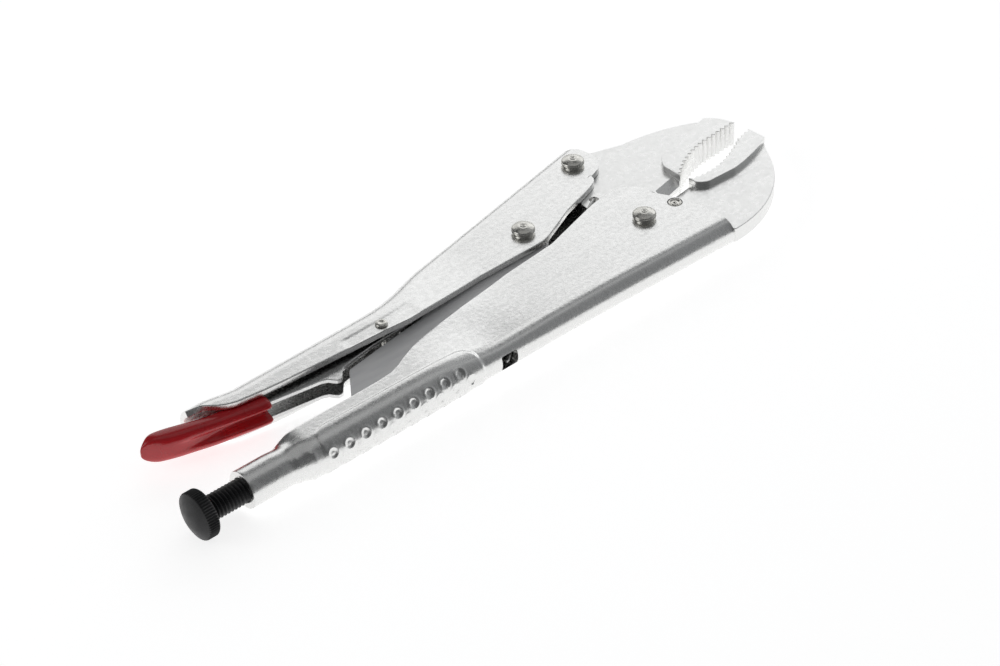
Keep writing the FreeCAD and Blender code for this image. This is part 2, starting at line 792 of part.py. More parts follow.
os.makedirs("parts", exist_ok=True)
for sub_part in sub_parts:
    sub_part.Shape.exportStep(f"parts/{sub_part.Label}.step")
    box = sub_part.Shape.BoundBox
    print(f"{sub_part.Label}: {len(sub_part.Shape.Solids)} solid, {sub_part.Shape.Volume:.0f} mm3,"
          f" x {box.XMin:.1f} to {box.XMax:.1f}, y {box.YMin:.1f} to {box.YMax:.1f},"
          f" z {box.ZMin:.1f} to {box.ZMax:.1f}")
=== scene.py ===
import math

import bmesh
import bpy
import numpy as np
from mathutils import Matrix, Vector


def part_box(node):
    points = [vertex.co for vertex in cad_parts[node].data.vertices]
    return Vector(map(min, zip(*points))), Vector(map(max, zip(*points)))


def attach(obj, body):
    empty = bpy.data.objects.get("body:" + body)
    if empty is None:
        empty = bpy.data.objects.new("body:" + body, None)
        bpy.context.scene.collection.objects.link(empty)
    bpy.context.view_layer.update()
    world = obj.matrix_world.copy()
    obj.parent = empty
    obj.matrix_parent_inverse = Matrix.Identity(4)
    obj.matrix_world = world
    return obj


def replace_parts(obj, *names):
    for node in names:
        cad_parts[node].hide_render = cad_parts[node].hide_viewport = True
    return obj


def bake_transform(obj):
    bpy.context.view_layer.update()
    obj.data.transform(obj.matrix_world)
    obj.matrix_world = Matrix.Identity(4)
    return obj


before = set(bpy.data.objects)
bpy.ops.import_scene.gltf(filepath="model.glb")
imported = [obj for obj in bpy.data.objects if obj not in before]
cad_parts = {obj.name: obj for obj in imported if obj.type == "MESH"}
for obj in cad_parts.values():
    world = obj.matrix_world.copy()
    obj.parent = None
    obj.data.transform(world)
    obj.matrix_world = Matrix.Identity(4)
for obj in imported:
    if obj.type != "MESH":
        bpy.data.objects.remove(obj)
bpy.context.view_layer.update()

# Places are in millimetres of the tool frame: x along the adjusting screw from the knob, y towards
# the movable handle, z along the rivets, with z = 0 in the middle of the plates.
MM = 0.001

# ---- sizes ----

# sheet, plates and the screw
SHEET = 2.1
CUT_RIM = 0.3
JAW_PLATE_HALF = 2.7
JAW_PAD_HALF = 4.6
LINK_HALF = 2.6
SCREW_RADIUS = 3.95
THREAD_PITCH = 1.25
THREAD_DEPTH = 0.72
SCREW_TIP_X = 56.0
KNOB_RIM = 4.0
KNOB_RADIUS = 7.6
KNOB_DOME = 1.8

# channels: half widths, then the stations along x where their shape changes
FRONT_HALF = 5.0
REAR_HALF = 7.0
NOSE_RADIUS = 6.1
NOSE_X = 17.0
TAIL_X = 22.0
CURL_X = 27.0
CURL_LENGTH = 11.0
SHOULDER_X = 33.0
GRIP_X = 42.0
TAPER_X = 85.0
SLIM_X = 135.0
FRONT_X = 206.5
BACK_DEPTH = 8.0
FRONT_SWELL = 1.9
TAIL_HEIGHT = 35.2
TAIL_FLARE = 2.1
TAIL_TAN = math.tan(math.radians(1.3))
LEG_TAN = math.tan(math.radians(12.6))
CROWN = 9.6
BEND_LENGTH = 33.0
NOSE_ROUND = 8.6
LEVER_HALF = 3.55
LEVER_CORNER = 1.3
LEVER_SHEET = 1.4
LEVER_RIM = 0.2

# raised grip panel and its dimples
GRIP_MIDDLE_X = 72.2
GRIP_HALF_LENGTH = 30.0
GRIP_HALF_WIDTH = 12.2
GRIP_CORNER = 5.0
GRIP_RAISE = 0.35
DIMPLE_COUNT = 9
DIMPLE_PITCH = 6.13
DIMPLE_RADIUS = 1.5
DIMPLE_DEPTH = 0.34
DIMPLE_LIP = 0.10

# jaws, link and rivets
TOOTH_PITCH = 2.25
MOVABLE_TOOTH_DEPTH = 0.9
FIXED_TOOTH_DEPTH = 0.75
PAD_STEP_BACK = 0.9
PAD_RIM = 0.22
HUB_RADIUS = 9.3
SEAT_RADIUS = 9.65
BOSS_RADIUS = 5.2
LINK_END_RADIUS = 8.0
HEAD_RADIUS = 3.85
RIVET_HOLE = 2.5
PLATE_HOLE = 2.55
SPRING_HOLE = 1.6
FLUSH_PLATE_HOLE = 2.35
LEVER_HOLE = 1.25

# spring and the slot it hooks into: middle x, length, width
WIRE_RADIUS = 0.5
COIL_RADIUS = 2.25
REAR_HOOK = 10.5
FRONT_HOOK = 11.5
SLOT = (112.3, 6.2, 5.0)

# ---- places read from the frame ----


def middle(node):
    low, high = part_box(node)
    return (low + high) / 2


knob_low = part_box("screw_knob")[0]
ORIGIN = Vector((knob_low.x + KNOB_DOME * MM, middle("screw_knob").y, middle("screw_knob").z))


def at(x, y, z=0.0):
    """A place of the tool frame in the row frame, in metres."""
    return ORIGIN + Vector((x, y, z)) * MM


def tool_place(node):
    place = (middle(node) - ORIGIN) / MM
    return place.x, place.y


PIVOT = tool_place("main_pivot_rivet")
JAW = tool_place("handle_jaw_rivet")
LINK = tool_place("handle_link_rivet")
LEVER = tool_place("release_lever_rivet")
FLUSH = tool_place("fixed_jaw_rivet")
HOOK = (PIVOT[0] - 2.6, PIVOT[1] + 20.9)


# ---- small mathematics ----

def ease(share):
    share = np.clip(share, 0.0, 1.0)
    return share * share * (3 - 2 * share)


def from_pivot(ahead, rise):
    return (PIVOT[0] + ahead, PIVOT[1] + rise)


def from_lever(behind, rise):
    return (LEVER[0] - behind, LEVER[1] + rise)


def polar(centre, radius, angle):
    turn = math.radians(angle)
    return (centre[0] + radius * math.cos(turn), centre[1] + radius * math.sin(turn))


def arc(start, end, radius, turn, step=0.6):
    """Points from start towards end on an arc; turn is 1 where it bends left, -1 where right."""
    a, b = Vector(start), Vector(end)
    chord = b - a
    across = Vector((-chord.y, chord.x)).normalized() * turn
    centre = a + chord / 2 + across * math.sqrt(max(radius**2 - (chord.length / 2) ** 2, 0.0))
    first = math.atan2(a.y - centre.y, a.x - centre.x)
    sweep = 2 * math.asin(min(1.0, chord.length / 2 / radius)) * turn
    count = max(2, round(abs(sweep) * radius / step))
    return [polar(centre, radius, math.degrees(first + sweep * n / count)) for n in range(count)]


def outline(corners, arcs):
    """A closed outline; arcs maps a corner's number to the radius and turn of the edge after it."""
    points = []
    for number, start in enumerate(corners):
        end = corners[(number + 1) % len(corners)]
        if number in arcs:
            points += arc(start, end, *arcs[number])
        else:
            points.append(start)
    return points


def round_corners(points, radius):
    """Replaces each sharp corner of a closed outline by a small arc."""
    least_turn = 18
    places = [Vector(p) for p in points]
    count = len(places)
    travel = [0.0]
    for n in range(count):
        travel.append(travel[-1] + (places[(n + 1) % count] - places[n]).length)
    whole = travel[-1]

    def on_line(distance):
        distance %= whole
        n = min(count - 1, max(0, int(np.searchsorted(travel, distance, "right")) - 1))
        share = (distance - travel[n]) / max(travel[n + 1] - travel[n], 1e-9)
        return places[n].lerp(places[(n + 1) % count], share)

    corners = []
    for n in range(count):
        back, ahead = places[n - 1] - places[n], places[(n + 1) % count] - places[n]
        turn = math.pi - back.angle(ahead, math.pi)
        if math.degrees(turn) >= least_turn:
            corners.append((n, turn))
    spans = []
    for k, (n, turn) in enumerate(corners):
        before = (travel[n] - travel[corners[k - 1][0]]) % whole or whole
        after = (travel[corners[(k + 1) % len(corners)][0]] - travel[n]) % whole or whole
        spans.append((n, turn, min(radius * math.tan(turn / 2), 0.45 * before, 0.45 * after)))
    arcs = {n: (turn, reach) for n, turn, reach in spans}
    smooth = []
    for n in range(count):
        if n in arcs:
            turn, reach = arcs[n]
            first, last = on_line(travel[n] - reach), on_line(travel[n] + reach)
            steps = max(2, round(math.degrees(turn) / 15))
            for k in range(steps + 1):
                share = k / steps
                onward = places[n].lerp(last, share)
                smooth.append(tuple(first.lerp(places[n], share).lerp(onward, share)))
            continue
        gaps = [(min((travel[n] - travel[m]) % whole, (travel[m] - travel[n]) % whole), reach)
                for m, _, reach in spans]
        if all(gap > reach + 0.05 for gap, reach in gaps):
            smooth.append(tuple(places[n]))
    return smooth


def resample(points, step):
    """Adds points on the long runs of a closed outline."""
    dense = []
    for number, point in enumerate(points):
        here = Vector(point)
        run = Vector(points[(number + 1) % len(points)]) - here
        count = max(1, round(run.length / step))
        dense += [tuple(here + run * n / count) for n in range(count)]
    return dense


def along_line(points, x):
    """Height at x on an open line of (x, y) points with rising x."""
    xs, ys = zip(*points)
    return np.interp(x, xs, ys)


# ---- building meshes ----

def make_object(name, vertices, faces, material, body, slot, sharp=32):
    mesh = bpy.data.meshes.new(name)
    mesh.from_pydata([tuple(at(*v)) for v in vertices], [], faces)
    mesh.validate()
    piece = bpy.data.objects.new(name, mesh)
    bpy.context.scene.collection.objects.link(piece)
    tidy_normals(mesh)
    finish_piece(piece, material, body, sharp)
    return piece


def tidy_normals(mesh):
    work = bmesh.new()
    work.from_mesh(mesh)
    bmesh.ops.remove_doubles(work, verts=work.verts, dist=1e-6)
    bmesh.ops.recalc_face_normals(work, faces=work.faces)
    work.to_mesh(mesh)
    work.free()


def finish_piece(piece, material, body, sharp):
    """Gives a piece its material, shading and body; sharp is in degrees."""
    piece.data.materials.clear()
    piece.data.materials.append(material)
    piece.data.shade_smooth()
    piece.data.set_sharp_from_angle(angle=math.radians(sharp))
    even = piece.modifiers.new("even", "WEIGHTED_NORMAL")
    even.keep_sharp = True
    if body:
        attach(piece, body)


def loop_mesh(loops, closed_ends=True):
    """Vertices and faces of a skin through closed loops with as many points each."""
    vertices = [v for loop in loops for v in loop]
    count = len(loops[0])
    faces = []
    for row in range(len(loops) - 1):
        start = row * count
        for n in range(count):
            after = (n + 1) % count
            faces.append((start + n, start + after, start + count + after, start + count + n))
    if closed_ends:
        faces.append(tuple(range(count - 1, -1, -1)))
        last = (len(loops) - 1) * count
        faces.append(tuple(range(last, last + count)))
    return vertices, faces


def inward(points):
    """Unit normals that point into a counter-clockwise outline."""
    normals = []
    for number, point in enumerate(points):
        back = Vector(point) - Vector(points[number - 1])
        ahead = Vector(points[(number + 1) % len(points)]) - Vector(point)
        run = back.normalized() + ahead.normalized()
        if run.length < 1e-6:
            run = ahead
        run.normalize()
        normals.append(Vector((-run.y, run.x)))
    return normals


def plate_loops(points, half, rim, steps=3):
    """Loops of a flat plate with rounded rims."""
    normals = inward(points)
    side = []
    for n in range(steps + 1):
        angle = math.pi / 2 * n / steps
        inset, rise = rim * (1 - math.sin(angle)), rim * math.cos(angle)
        side.append([
            (p[0] + v.x * inset, p[1] + v.y * inset, half - rim + rise)
            for p, v in zip(points, normals)
        ])
    other = [[(x, y, -z) for x, y, z in loop] for loop in reversed(side)]
    return side + other


def plate(name, points, half, material, slot):
    """A plate that takes its body after its holes are cut."""
    return make_object(name, *loop_mesh(plate_loops(points, half, CUT_RIM)), material, None, slot)


def turned_rivet(name, half, place, body, segments=72):
    """A turned piece along z. half is its upper half, (height, radius), from the axis outwards."""
    profile = half + [(-height, radius) for height, radius in reversed(half)]
    vertices, faces, rings = [], [], []
    for height, radius in profile:
        ring = []
        for n in range(segments if radius > 1e-6 else 1):
            turn = 2 * math.pi * n / segments
            ring.append(len(vertices))
            x, y = place[0] + radius * math.cos(turn), place[1] + radius * math.sin(turn)
            vertices.append((x, y, height))
        rings.append(ring)
    for low, high in zip(rings, rings[1:]):
        for n in range(segments):
            after = (n + 1) % segments
            corners = [low[n % len(low)], low[after % len(low)],
                       high[after % len(high)], high[n % len(high)]]
            faces.append(tuple(dict.fromkeys(corners)))
    return make_object(name, vertices, faces, RIVET_METAL, body, "rivet_steel")


def tube_along(path, radius, sides):
    """Loops of a round wire along a list of points."""
    loops = []
    points = [Vector(p) for p in path]
    lead = (points[1] - points[0]).normalized()
    across = lead.orthogonal().normalized()
    for number, point in enumerate(points):
        ahead = points[min(number + 1, len(points) - 1)]
        behind = points[max(number - 1, 0)]
        run = (ahead - behind).normalized()
        across = (across - run * across.dot(run)).normalized()
        up = run.cross(across)
        loops.append([
            tuple(point + (across * math.cos(t) + up * math.sin(t)) * radius)
            for t in (2 * math.pi * n / sides for n in range(sides))
        ])
    return loops


def boolean(piece, cutters, operation="DIFFERENCE"):
    """Applies exact booleans with other objects, then removes them. Stops if nothing is left."""
    piece.modifiers.clear()
    for cutter in cutters:
        step = piece.modifiers.new("cut", "BOOLEAN")
        step.operation = operation
        step.solver = "EXACT"
        step.object = cutter
    bpy.context.view_layer.update()
    graph = bpy.context.evaluated_depsgraph_get()
    result = bpy.data.meshes.new_from_object(piece.evaluated_get(graph))
    piece.modifiers.clear()
    if not result.polygons:
        raise ValueError(f"{piece.name}: the cut left nothing")
    piece.data = result
    for cutter in cutters:
        bpy.data.objects.remove(cutter)


def cutter_pin(x, y, radius):
    """A round cutter along z that passes through the whole tool."""
    segments, reach = 48, 20.0
    points = [polar((x, y), radius, 360 * n / segments) for n in range(segments)]
    loops = [[(px, py, z) for px, py in points] for z in (reach, -reach)]
    return loose_object("cutter", *loop_mesh(loops))


def loose_object(name, vertices, faces):
    """A bare mesh for a boolean, with no material and no body."""
    mesh = bpy.data.meshes.new(name)
    mesh.from_pydata([tuple(at(*v)) for v in vertices], [], faces)
    tidy_normals(mesh)
    piece = bpy.data.objects.new(name, mesh)
    bpy.context.scene.collection.objects.link(piece)
    return piece


# ---- materials ----

def new_material(name, colour, metallic, roughness):
    material = bpy.data.materials.new(name)
    material.use_nodes = True
    shader = material.node_tree.nodes["Principled BSDF"]
    shader.inputs["Base Color"].default_value = (*colour, 1)
    shader.inputs["Metallic"].default_value = metallic
    shader.inputs["Roughness"].default_value = roughness
    return material, material.node_tree, shader


def add_noise(tree, scale, detail=3.0, stretch=(1, 1, 1)):
    """A noise texture in the object's own metres; its size is 1 / scale."""
    place = tree.nodes.new("ShaderNodeTexCoord")
    spread = tree.nodes.new("ShaderNodeMapping")
    spread.inputs["Scale"].default_value = stretch
    noise = tree.nodes.new("ShaderNodeTexNoise")
    noise.inputs["Scale"].default_value = scale
    noise.inputs["Detail"].default_value = detail
    tree.links.new(place.outputs["Object"], spread.inputs["Vector"])
    tree.links.new(spread.outputs["Vector"], noise.inputs["Vector"])
    return noise.outputs["Fac"]


def remap(tree, source, low, high, from_low=0.3, from_high=0.7):
    node = tree.nodes.new("ShaderNodeMapRange")
    node.inputs["From Min"].default_value = from_low
    node.inputs["From Max"].default_value = from_high
    node.inputs["To Min"].default_value = low
    node.inputs["To Max"].default_value = high
    tree.links.new(source, node.inputs["Value"])
    return node.outputs["Result"]


def mix_colours(tree, factor, first, second):
    node = tree.nodes.new("ShaderNodeMix")
    node.data_type = "RGBA"
    node.inputs["A"].default_value = (*first, 1)
    node.inputs["B"].default_value = (*second, 1)
    tree.links.new(factor, node.inputs["Factor"])
    return node.outputs["Result"]


def add_bump(tree, shader, layers):
    """layers are (height source, strength, depth in metres), one on top of another."""
    before = None
    for source, strength, depth in layers:
        bump = tree.nodes.new("ShaderNodeBump")
        bump.inputs["Strength"].default_value = strength
        bump.inputs["Distance"].default_value = depth
        tree.links.new(source, bump.inputs["Height"])
        if before is not None:
            tree.links.new(before, bump.inputs["Normal"])
        before = bump.outputs["Normal"]
    tree.links.new(before, shader.inputs["Normal"])


def plated_steel(name, light, dark, roughness, spread, pit=0.35, wave_depth=0.00009):
    """Satin plating: cloudy colour and gloss, fine pits and the soft waves of pressed sheet."""
    material, tree, shader = new_material(name, light, 1.0, roughness)
    cloud = add_noise(tree, 700, 5)
    grain = add_noise(tree, 3200, 3)
    wave = add_noise(tree, 850, 4)
    streak = add_noise(tree, 900, 3, (0.12, 1, 1))
    colour = mix_colours(tree, remap(tree, grain, 0, 1), light, dark)
    tree.links.new(colour, shader.inputs["Base Color"])
    gloss = tree.nodes.new("ShaderNodeMath")
    gloss.operation = "ADD"
    tree.links.new(remap(tree, cloud, roughness - spread, roughness + spread), gloss.inputs[0])
    tree.links.new(remap(tree, streak, -spread / 2, spread / 2), gloss.inputs[1])
    tree.links.new(gloss.outputs[0], shader.inputs["Roughness"])
    add_bump(tree, shader, [(wave, 0.6, wave_depth), (grain, pit, 0.00002)])
    return material


def dull_steel(name, light, dark, roughness):
    """Bare blanked plate: matte, with rolling streaks and specks."""
    material, tree, shader = new_material(name, light, 0.15, roughness)
    streak = add_noise(tree, 500, 4, (0.15, 1, 1))
    grain = add_noise(tree, 3000, 2)
    colour = mix_colours(tree, remap(tree, streak, 0, 1), light, dark)
    tree.links.new(colour, shader.inputs["Base Color"])
    tree.links.new(remap(tree, grain, roughness - 0.08, roughness + 0.08), shader.inputs["Roughness"])
    add_bump(tree, shader, [(streak, 0.2, 0.00004), (grain, 0.4, 0.00003)])
    return material


def black_oxide(name):
    """Black oxide on turned steel, with fine dust-like specks and a soft oily gloss."""
    material, tree, shader = new_material(name, (0.012, 0.012, 0.013), 0.35, 0.42)
    cloud = add_noise(tree, 300, 3)
    grain = add_noise(tree, 3500, 3)
    colour = mix_colours(tree, remap(tree, grain, 0, 1, 0.35, 0.75), (0.010, 0.010, 0.011),
                         (0.026, 0.026, 0.028))
    tree.links.new(colour, shader.inputs["Base Color"])
    tree.links.new(remap(tree, cloud, 0.36, 0.52), shader.inputs["Roughness"])
    add_bump(tree, shader, [(grain, 0.3, 0.00003)])
    return material


def dipped_vinyl(name):
    """Thick red vinyl, dipped: glossy, with slow waves and the finest orange peel."""
    material, tree, shader = new_material(name, (0.36, 0.008, 0.014), 0.0, 0.24)
    cloud = add_noise(tree, 120, 3)
    peel = add_noise(tree, 1500, 2)
    colour = mix_colours(tree, remap(tree, cloud, 0, 1), (0.62, 0.014, 0.022), (0.50, 0.008, 0.014))
    tree.links.new(colour, shader.inputs["Base Color"])
    tree.links.new(remap(tree, cloud, 0.20, 0.33), shader.inputs["Roughness"])
    shader.inputs["Coat Weight"].default_value = 0.35
    shader.inputs["Coat Roughness"].default_value = 0.12
    shader.inputs["Subsurface Weight"].default_value = 0.05
    shader.inputs["Subsurface Radius"].default_value = (0.001, 0.0002, 0.0002)
    add_bump(tree, shader, [(cloud, 0.3, 0.0002), (peel, 0.12, 0.00003)])
    return material


PLATING_LIGHT = (0.88, 0.88, 0.87)
PLATING_DARK = (0.83, 0.83, 0.82)
HANDLE_METAL = plated_steel("satin_plating", PLATING_LIGHT, PLATING_DARK, 0.27, 0.05, 0.3, 0.00007)
JAW_METAL = plated_steel("jaw_plating", PLATING_LIGHT, PLATING_DARK, 0.30, 0.04, 0.15, 0.00003)
RIVET_METAL = plated_steel("rivet_plating", (0.86, 0.85, 0.81), (0.58, 0.57, 0.53), 0.28, 0.08, 0.6)
LEVER_METAL = plated_steel("lever_plating", (0.78, 0.78, 0.77), (0.66, 0.66, 0.66), 0.27, 0.06)
SPRING_METAL = plated_steel("spring_wire", (0.60, 0.60, 0.59), (0.45, 0.45, 0.44), 0.33, 0.06)
LINK_METAL = dull_steel("blanked_plate", (0.86, 0.86, 0.86), (0.76, 0.76, 0.77), 0.62)
BLACK_METAL = black_oxide("black_oxide")
RED_VINYL = dipped_vinyl("red_vinyl")


# ---- pressed channels: both handles and the release lever ----

def half_section(half, corner, back, edge, count):
    """Places (across, height) and outward normals from the middle of the back to the open edge."""
    spring_line = back - corner
    flat = half - corner
    turn = math.pi / 2
    if edge > spring_line:
        turn = math.acos(min(1.0, max(-1.0, (edge - spring_line) / corner)))
    wall = max(0.0, spring_line - edge)
    lengths = np.linspace(0.0, flat + corner * turn + wall, count + 1)
    bend = np.clip((lengths - flat) / corner, 0.0, turn)
    across = np.minimum(lengths, flat) + corner * np.sin(bend)
    height = spring_line + corner * np.cos(bend) - np.clip(lengths - flat - corner * turn, 0, None)
    return np.stack([across, height], 1), np.stack([np.sin(bend), np.cos(bend)], 1)


def channel_loop(x, section, shrink, count, sheet=SHEET, rim=CUT_RIM, curl=0.0, relief=None):
    """A closed loop round the sheet of a channel: outside, one open edge, inside, the other edge.

    section is (half width, corner radius, back, open edge, side of the back). curl closes the section
    into a ring, and relief gives the outer skin's height from x and the travel from the back's middle.
    """
    half, corner, back, edge, side = section
    outer, normal = half_section(half, corner, back, edge + rim, count)
    if curl > 0:
        turn = np.linspace(0.0, math.pi - 0.03, count + 1)
        ring = np.stack([np.sin(turn), np.cos(turn)], 1)
        outer = outer * (1 - curl) + ring * half * curl
        normal = normal * (1 - curl) + ring * curl
        normal /= np.linalg.norm(normal, axis=1)[:, None]
    end, out = outer[-1], normal[-1]
    onward = np.array([out[1], -out[0]])
    cap = []
    for angle in (30, 60, 90):
        turn = math.radians(angle)
        cap.append(end - out * rim + rim * (out * math.cos(turn) + onward * math.sin(turn)))
    for angle in (90, 60, 30):
        turn = math.radians(angle)
        cap.append(end - out * (sheet - rim) + rim * (-out * math.cos(turn) + onward * math.sin(turn)))
    inner = outer - normal * (sheet - shrink)
    travel = np.concatenate([[0.0], np.cumsum(np.linalg.norm(np.diff(outer, axis=0), axis=1))])
    loops = []
    for hand in (1, -1):
        skin = outer - normal * shrink
        if relief is not None:
            skin = skin + normal * relief(x, travel * hand)[:, None]
        half_loop = np.concatenate([skin, np.array(cap), inner[::-1]])
        half_loop[:, 0] *= hand
        loops.append(half_loop)
    whole = np.concatenate([loops[0], loops[1][::-1][1:-1]])
    return [(x, side * height, across) for across, height in whole]


def bent_loop(x, section_at, shrink, count, front_line, share, climb=0.0, relief=None):
    """A channel loop whose points lean towards a curved end line; the back keeps its climb."""
    back = section_at(x)[2]
    leaned = []
    for px, py, pz in channel_loop(x, section_at(x), shrink, count, relief=relief):
        shift = share * (front_line(py) - x)
        leaned.append((px + shift, py + climb * shift * float(ease((py - back + 9.0) / 5.0)), pz))
    return leaned


def end_rings(x, way, rim=CUT_RIM):
    """Places and insets of the rings that round a channel's cut end; way is 1 at its front."""
    return [(x - way * rim, 0.0), (x - way * rim * 0.3, rim * 0.3), (x, rim)]


def width_at(x):
    """Half the width of either handle."""
    return REAR_HALF + (FRONT_HALF - REAR_HALF) * float(ease((x - TAPER_X) / (SLIM_X - TAPER_X)))


FIXED_EDGE = [
    (NOSE_X, 4.8), (SHOULDER_X, 4.8), (60.0, 5.0), (72.0, 5.2), (77.5, 5.7), (81.0, 6.9), (84.0, 8.4),
    (90.0, 10.9), (97.0, 12.9), (115.0, 17.1), (136.0, 20.9), (157.0, 23.0), (177.0, 28.9),
    (183.0, 30.6), (187.0, 31.3), (190.0, 30.2), (199.6, 21.2), (207.0, 21.2),
]


def fixed_section(x):
    """The fixed handle's section, which closes to a round nose at the rear."""
    back = BACK_DEPTH + FRONT_SWELL * max(0.0, (x - SLIM_X) / (FRONT_X - SLIM_X)) ** 2
    half = width_at(x)
    grow = float(ease((x - SHOULDER_X + 1.5) / (GRIP_X - SHOULDER_X)))
    half = NOSE_RADIUS + (half - NOSE_RADIUS) * grow
    back = NOSE_RADIUS + (back - NOSE_RADIUS) * grow
    return half, half, back, -float(along_line(FIXED_EDGE, x)), -1


# each row of dimples: its first x, then its first and last travel round the sheet
DIMPLE_ROWS = [(44.6, 2.7, 4.6), (47.8, -0.85, 1.1), (44.6, -4.4, -2.45)]


def grip_relief(x, travel):
    """The raised grip panel on the fixed handle, with three rows of pressed dimples."""
    long_side = np.abs(x - GRIP_MIDDLE_X) - (GRIP_HALF_LENGTH - GRIP_CORNER)
    short_side = np.abs(travel) - (GRIP_HALF_WIDTH - GRIP_CORNER)
    outside = np.hypot(np.clip(long_side, 0, None), np.clip(short_side, 0, None))
    distance = outside + np.minimum(np.maximum(long_side, short_side), 0) - GRIP_CORNER
    panel_edge, reach, wall, lip_radius, lip_width = 0.9, 2.4, 0.55, 1.75, 0.3
    height = GRIP_RAISE * ease(0.5 - distance / panel_edge)
    for start, first, last in DIMPLE_ROWS:
        for n in range(DIMPLE_COUNT):
            centre_x = start + n * DIMPLE_PITCH
            if abs(x - centre_x) > reach:
                continue
            centre_travel = first + (last - first) * n / (DIMPLE_COUNT - 1)
            gap = np.hypot(x - centre_x, travel - centre_travel)
            height = height - DIMPLE_DEPTH * ease((DIMPLE_RADIUS - gap) / wall)
            height = height + DIMPLE_LIP * np.exp(-(((gap - lip_radius) / lip_width) ** 2))
    return height


def shoulder_relief(x, travel):
    """Two soft bulges where the sheet closes round the nose."""
    swell = 0.0
    for place, height in ((34.0, 0.32), (38.3, 0.34)):
        swell = swell + height * math.exp(-(((x - place) / 1.0) ** 2))
    return swell * ease((8.5 - np.abs(travel)) / 4.0)


def flank_relief(x, travel):
    """The flanks lean in towards the back where the wide rear runs into the slim front."""
    deepest, middle_x, spread = 1.1, 110.0, 15.0
    lean = deepest * math.exp(-(((x - middle_x) / spread) ** 2))
    fade = np.clip(1 - (np.abs(travel) - 9.0) / 18.0, 0, 1)
    return -lean * fade * ease((np.abs(travel) - 3.0) / 6.0)


def fixed_relief(x, travel):
    return grip_relief(x, travel) + shoulder_relief(x, travel) + flank_relief(x, travel)


def fixed_front(y):
    """The front end of the fixed handle: upright at the back, then rounded towards the top edge."""
    line = [(-1.0, FRONT_X), (3.5, 206.2), (8.0, 205.2), (12.5, 203.9), (16.6, 202.1), (21.2, 199.6)]
    return float(along_line(line, y))


def fixed_handle_skin():
    """Loops from the nose to the front, closest together where the dimples are."""
    count = 52
    start, last = 180.0, 199.6
    stations = [*np.arange(18.0, 41.0, 0.7), *np.arange(41.0, 104.5, 0.36), *np.arange(105.0, start, 1.5)]
    rings = end_rings(NOSE_X, -1, 0.35)[::-1] + [(float(x), 0.0) for x in stations]
    loops = []
    for x, shrink in rings:
        curl = float(1 - ease((x - CURL_X) / CURL_LENGTH))
        loops.append(channel_loop(x, fixed_section(x), shrink, count, curl=curl, relief=fixed_relief))
    lean = [(x, 0.0) for x in np.arange(start, last - 0.4, 1.2)] + end_rings(last, 1)
    for x, shrink in lean:
        share = float(ease((x - start) / (last - start)))
        loops.append(bent_loop(x, fixed_section, shrink, count, fixed_front, share, relief=fixed_relief))
    return channel_object("fixed_handle_shell", loops, count, "frame", HANDLE_METAL, "handle_plating")


def spring_slot_cutter():
    """The rounded slot in the fixed handle's back that the spring hooks into."""
    slot_x, length, width = SLOT
    points = round_corners([
        (slot_x - length / 2, -width / 2), (slot_x + length / 2, -width / 2),
        (slot_x + length / 2, width / 2), (slot_x - length / 2, width / 2)], 0.7)
    inside, outside = -3.0, -14.0
    return loose_object("cutter", *loop_mesh([[(x, y, z) for x, z in points] for y in (inside, outside)]))


def fixed_handle():
    piece = fixed_handle_skin()
    boolean(piece, [spring_slot_cutter(), cutter_pin(*PIVOT, RIVET_HOLE), cutter_pin(*FLUSH, RIVET_HOLE)])
    finish_piece(piece, HANDLE_METAL, "frame", 32)
    return piece


def channel_object(name, loops, count, body, material, slot):
    """The skin through channel loops, with the cut ends closed by strips between its two faces."""
    vertices, faces = loop_mesh(loops, closed_ends=False)
    around = len(loops[0])
    for row in (0, len(loops) - 1):
        base = row * around
        # Half a loop runs over the outside, the six points of the edge and back along the inside.
        half = count + 6 + count + 1
        for n in range(half // 2):
            a, b = n, half - n
            faces.append((base + a, base + a + 1, base + b - 1, base + b))
        for n in range(half // 2):
            a = (around - n) % around
            after = (around - n - 1) % around
            b, before = half + n, half + n + 1
            faces.append((base + a, base + after, base + before, base + b))
    return make_object(name, vertices, faces, material, body, slot)


MOVABLE_EDGE = [
    (TAIL_X, 33.6), (26.6, 32.0), (28.2, 30.2), (30.4, 28.3), (32.8, 26.9), (35.5, 26.0), (44.0, 24.9),
    (52.0, 24.2), (75.0, 23.1), (97.9, 22.2), (113.0, 23.7), (129.0, 25.4), (154.0, 25.7),
    (156.5, 25.9), (159.0, 26.6), (176.0, 34.3), (187.0, 39.3), (194.0, 42.5), (202.0, 46.0),
]


def movable_back(x):
    """The movable handle's back: nearly level at the tail, then up the leg to the jaw pivot."""
    tail = TAIL_HEIGHT + TAIL_TAN * (x - TAIL_X)
    front = JAW[1] + CROWN + LEG_TAN * (x - JAW[0])
    share = float(ease((x - TAPER_X) / BEND_LENGTH))
    flare = TAIL_FLARE * float(1 - ease((x - 27.0) / 13.0))
    return tail + (front - tail) * share + flare


def movable_section(x):
    half = width_at(x)
    return half, half, movable_back(x), float(along_line(MOVABLE_EDGE, x)), 1


def movable_front(y):
    """The front end: cut back over the web, then round the jaw pivot."""
    rise = y - JAW[1]
    cut_angle, cut_ahead, cut_rise, cut_slope = 52, 5.3, 6.78, 0.57
    if rise > NOSE_ROUND * math.sin(math.radians(cut_angle)):
        return JAW[0] + cut_ahead - (rise - cut_rise) * cut_slope
    return JAW[0] + math.sqrt(max(NOSE_ROUND**2 - rise**2, 0.0))


def lever_pin_relief(x, travel):
    """A shallow pressed flat round the release lever's rivet."""
    middle_x, half_length, depth = 89.0, 14.0, 0.12
    inside = ease((half_length - abs(x - middle_x)) / 1.2) * ease((np.abs(travel) - 12.5) / 1.0)
    return -depth * inside


